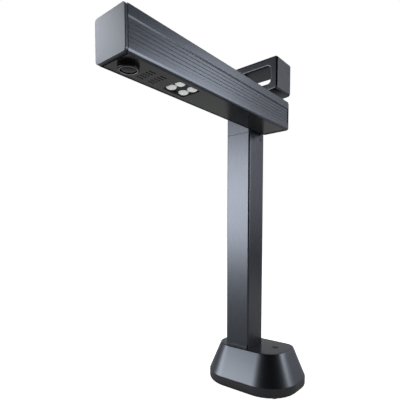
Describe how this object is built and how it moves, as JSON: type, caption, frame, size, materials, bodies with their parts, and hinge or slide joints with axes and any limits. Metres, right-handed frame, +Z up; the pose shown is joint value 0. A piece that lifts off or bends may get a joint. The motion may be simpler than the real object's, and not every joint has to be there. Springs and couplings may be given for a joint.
{
  "type": "document camera",
  "caption": "Desktop document camera: weighted tapered base, square column, ribbed camera arm that folds down beside it, underside lens and lamps, and a carry handle.",
  "frame": {"origin": "at desk level under the centre of the base's footprint", "axes": "+Z up along the column, -Y towards the user, where the arm reaches at rest; the arm lies on the column's +X side"},
  "size_m": [0.139, 0.3188, 0.4536],
  "materials": {
    "anodised_column": "satin anodised, fine vertical brushing",
    "anodised_arm": "satin anodised ribbed extrusion",
    "cap_finish": "satin anodised, light",
    "handle_finish": "satin anodised",
    "base_shell": "metallic grey, semi-gloss",
    "dark_panel": "fine-grained matte",
    "base_rim": "fine-grained satin",
    "steel": "zinc plated",
    "zinc_casting": "as cast",
    "rubber": "matte",
    "circuit_board": "solder mask",
    "white_board": "white solder mask",
    "connector_metal": "plated",
    "black_plastic": "satin",
    "lens_black": "gloss black",
    "lens_glass": "coated glass",
    "sensor": "cover glass",
    "lamp_lens": "frosted diffuser",
    "led_chip": "phosphor",
    "bronze": "sintered",
    "nylon": "moulded",
    "friction": "fibre washer",
    "cable_jacket": "PVC"
  },
  "bodies": {
    "stand": {"base_shell": "base_shell", "base_top_panel": "dark_panel", "base_tray": "base_rim", "ballast_plate": "steel", "rubber_feet": "rubber", "base_screws": "steel", "column_socket": "zinc_casting", "socket_screws": "steel", "column_tube": "anodised_column", "column_clamp_screws": "steel", "main_board": "circuit_board", "board_screws": "steel", "usb_board": "circuit_board", "usb_socket": "connector_metal", "switch_board": "circuit_board", "button_switch": "black_plastic", "column_cable": "cable_jacket", "head_block": "anodised_column", "head_screws": "steel", "hinge_access_cap": "black_plastic", "carry_handle": "handle_finish", "handle_screws": "steel", "hinge_bush": "bronze", "thrust_washer": "nylon", "friction_washer": "friction", "stop_pin": "steel"},
    "arm": {"disc_springs": "steel", "hinge_nut": "steel", "hinge_shaft": "steel", "hinge_plate": "steel", "hinge_plate_screws": "steel", "arm_extrusion": "anodised_arm", "arm_bottom_cover": "dark_panel", "front_cap": "cap_finish", "rear_cap": "cap_finish", "rear_cap_screws": "steel", "lens_barrel": "lens_black", "lens_retainer": "lens_black", "lens_glass": "lens_glass", "lens_holder": "black_plastic", "image_sensor": "sensor", "camera_board": "circuit_board", "led_tray": "dark_panel", "led_lenses": "lamp_lens", "led_chips": "led_chip", "led_board": "white_board", "microphone_board": "circuit_board", "microphones": "connector_metal", "arm_cable": "cable_jacket"},
    "button": {"lamp_button": "black_plastic"}
  },
  "joints": [
    {"name": "arm_fold", "type": "hinge", "parent": "stand", "child": "arm", "pos_m": [0, -0.0045, 0.38315], "axis": [1, 0, 0], "range_deg": [0, 90]},
    {"name": "lamp_button_press", "type": "slide", "parent": "stand", "child": "button", "axis": [0, 0, -1], "range_m": [0, 0.0008], "stiffness_N_per_m": 600, "springref_m": -0.0005}
  ]
}
